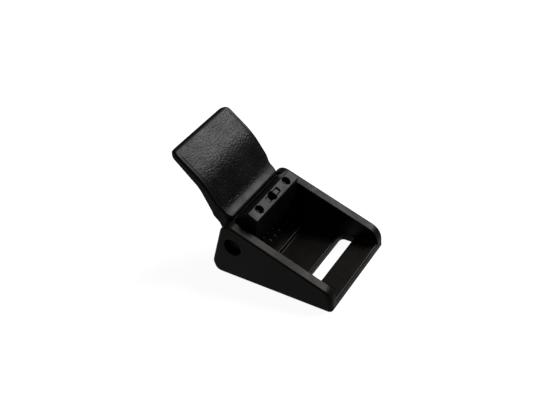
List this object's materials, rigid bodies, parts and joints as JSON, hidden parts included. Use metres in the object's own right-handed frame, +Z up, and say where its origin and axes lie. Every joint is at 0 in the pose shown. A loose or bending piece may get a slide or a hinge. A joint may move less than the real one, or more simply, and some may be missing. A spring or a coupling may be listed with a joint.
{
  "type": "cam buckle",
  "caption": "Moulded plastic cam buckle for 25 mm webbing: a channel frame with a fixed-strap slot and a hinged cam lever that pinches the running strap.",
  "frame": {"origin": "middle of the frame's flat underside", "axes": "+X from the hinge end to the slotted end, along the strap; +Y across the strap, along the hinge; +Z up, out of the underside"},
  "size_m": [0.0537, 0.0328, 0.0377],
  "materials": {
    "frame_plastic": "black moulded plastic with a fine satin grain",
    "lever_plastic": "black moulded plastic, semi-gloss, with a coarse orange-peel grain on the handle",
    "pin_plastic": "plain black moulded plastic"
  },
  "bodies": {
    "buckle_frame": {"frame": "frame_plastic", "pivot_pin": "pin_plastic"},
    "lever": {"cam_lever": "lever_plastic"}
  },
  "joints": [
    {"name": "lever_hinge", "type": "hinge", "parent": "buckle_frame", "child": "lever", "pos_m": [-0.0124, 0, 0.0115], "axis": [0, 1, 0], "range_deg": [-70, 92]}
  ]
}
